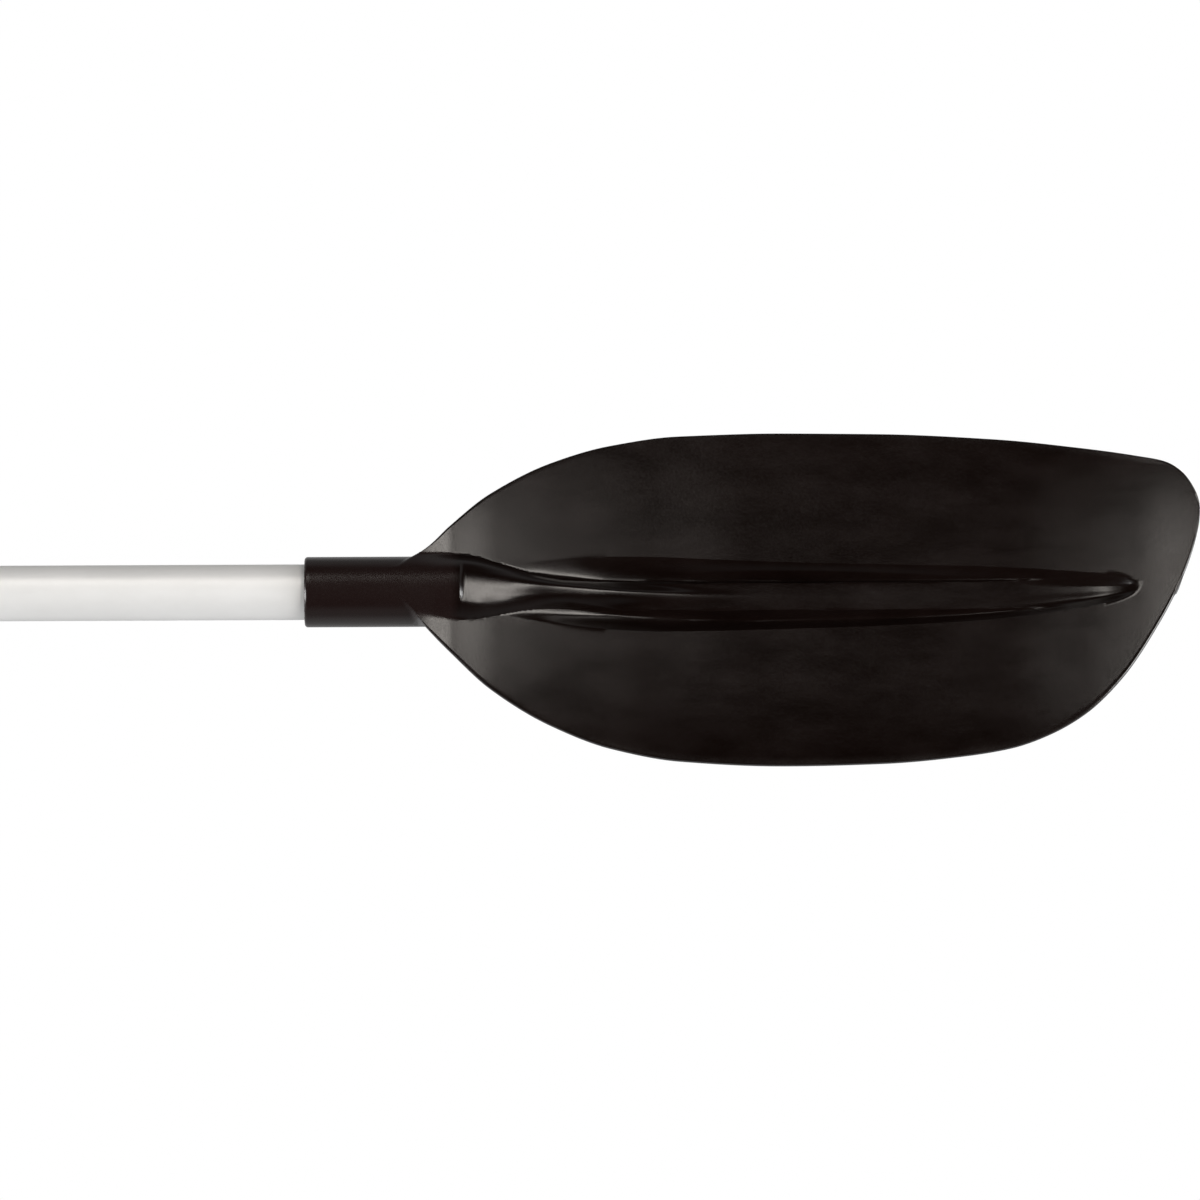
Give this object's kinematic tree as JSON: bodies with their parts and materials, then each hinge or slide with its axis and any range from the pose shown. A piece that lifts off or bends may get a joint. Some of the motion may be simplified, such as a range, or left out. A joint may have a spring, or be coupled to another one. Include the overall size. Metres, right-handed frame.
{
  "type": "take-down rowing oar",
  "caption": "Rowing oar with a tubular alloy shaft that comes apart behind a sprung button, a moulded spoon blade, a rowlock sleeve with a clamped stop collar, and a round hand grip.",
  "frame": {"origin": "centre of the grip's flat end, on the shaft's axis", "axes": "+X along the shaft to the blade's tip, +Z out of the blade's hollow power face, +Y across the blade"},
  "size_m": [1.4999, 0.1928, 0.06],
  "materials": {
    "blade_plastic": "black fibre-filled plastic, satin, with a fine moulded grain",
    "anodised_tube": "silver anodised, fine satin",
    "plain_alloy": "drawn, plain",
    "stainless_steel": "turned",
    "spring_steel": "cold rolled",
    "fitting_plastic": "black moulded plastic, satin",
    "grip_rubber": "matte, fine ribbed",
    "closed_cell_foam": "foam plug"
  },
  "bodies": {
    "blade_half": {"blade": "blade_plastic", "blade_rivet": "stainless_steel", "lower_shaft": "anodised_tube", "lower_end_plug": "closed_cell_foam", "ferrule": "plain_alloy", "ferrule_rivet_left": "stainless_steel", "ferrule_rivet_right": "stainless_steel", "ferrule_plug": "closed_cell_foam", "snap_spring": "spring_steel"},
    "button": {"snap_button": "stainless_steel"},
    "handle_half": {"upper_shaft": "anodised_tube", "upper_plug": "closed_cell_foam", "joint_ring": "fitting_plastic", "oar_sleeve": "fitting_plastic", "grip": "grip_rubber", "grip_plug": "closed_cell_foam"},
    "stop_collar": {"stop_collar_top": "fitting_plastic", "stop_collar_bottom": "fitting_plastic", "collar_screw_left": "stainless_steel", "collar_screw_right": "stainless_steel", "collar_nut_left": "stainless_steel", "collar_nut_right": "stainless_steel"}
  },
  "joints": [
    {"name": "button_press", "type": "slide", "parent": "blade_half", "child": "button", "axis": [0, 0, -1], "range_m": [0, 0.005], "stiffness_N_per_m": 1200, "springref_m": -0.003, "deforming": ["snap_spring"]},
    {"name": "take_down", "type": "slide", "parent": "blade_half", "child": "handle_half", "axis": [-1, 0, 0], "range_m": [0, 0.126], "deforming": ["snap_spring", "snap_button"]},
    {"name": "stop_slide", "type": "slide", "parent": "handle_half", "child": "stop_collar", "axis": [1, 0, 0], "range_m": [-0.03, 0.05]}
  ]
}
